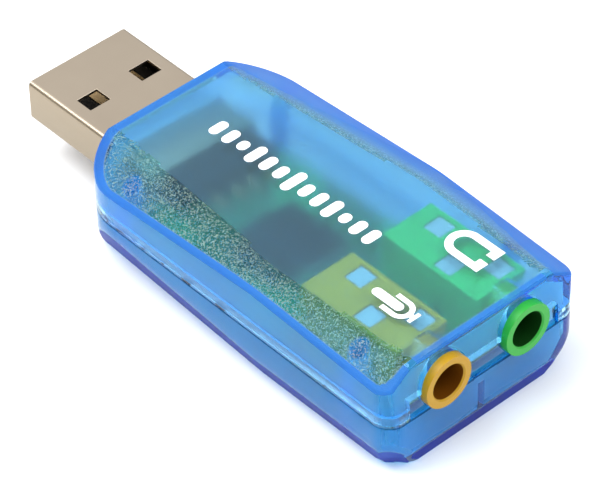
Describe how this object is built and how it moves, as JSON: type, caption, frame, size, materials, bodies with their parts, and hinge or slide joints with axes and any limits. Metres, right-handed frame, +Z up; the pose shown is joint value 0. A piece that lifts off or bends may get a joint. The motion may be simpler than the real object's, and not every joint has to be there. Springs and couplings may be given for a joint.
{
  "type": "usb sound card",
  "caption": "Thumb-sized usb audio adapter in a clear case, with a usb plug at one end and coloured 3.5 mm jack sockets at the other.",
  "frame": {"origin": "middle of the bounding box, on the flat base that the case rests on", "axes": "+X from the plug towards the jack sockets, +Y towards the headphone socket, +Z up from the base to the printed top"},
  "size_m": [0.0558, 0.0232, 0.012],
  "materials": {
    "clear_blue_case": "clear, glossy sides with a frosted top",
    "nickel_plug": "bright nickel plating on rolled sheet",
    "black_insulator": "moulded, matt",
    "gold_contact": "gold flash, bright",
    "green_board": "green solder resist",
    "black_chip": "moulded epoxy, matt",
    "tinned_metal": "tinned, satin",
    "capacitor_resin": "moulded resin, satin",
    "ceramic": "fired ceramic, matt",
    "yellow_jack_plastic": "moulded, glossy",
    "green_jack_plastic": "moulded, glossy",
    "solder": "solder, bright",
    "white_print": "pad print, matt"
  },
  "bodies": {
    "root": {"top_cover": "clear_blue_case", "bottom_cover": "clear_blue_case", "usb_shell": "nickel_plug", "usb_insulator": "black_insulator", "usb_contact_1": "gold_contact", "usb_contact_2": "gold_contact", "usb_contact_3": "gold_contact", "usb_contact_4": "gold_contact", "circuit_board": "green_board", "audio_chip": "black_chip", "audio_chip_leads": "tinned_metal", "crystal": "tinned_metal", "crystal_leads": "tinned_metal", "capacitor": "capacitor_resin", "capacitor_leads": "tinned_metal", "voltage_regulator": "black_chip", "regulator_leads": "tinned_metal", "chip_capacitor_1": "ceramic", "chip_capacitor_2": "ceramic", "chip_capacitor_3": "ceramic", "chip_resistor_1": "black_chip", "chip_resistor_2": "black_chip", "chip_resistor_3": "black_chip", "microphone_jack_body": "yellow_jack_plastic", "microphone_sleeve_contact": "tinned_metal", "microphone_ring_contact": "tinned_metal", "microphone_tip_contact": "tinned_metal", "headphone_jack_body": "green_jack_plastic", "headphone_sleeve_contact": "tinned_metal", "headphone_ring_contact": "tinned_metal", "headphone_tip_contact": "tinned_metal", "jack_solder": "solder", "plug_solder": "solder", "headphone_mark": "white_print", "microphone_mark": "white_print", "sound_bar_print": "white_print"}
  },
  "joints": []
}
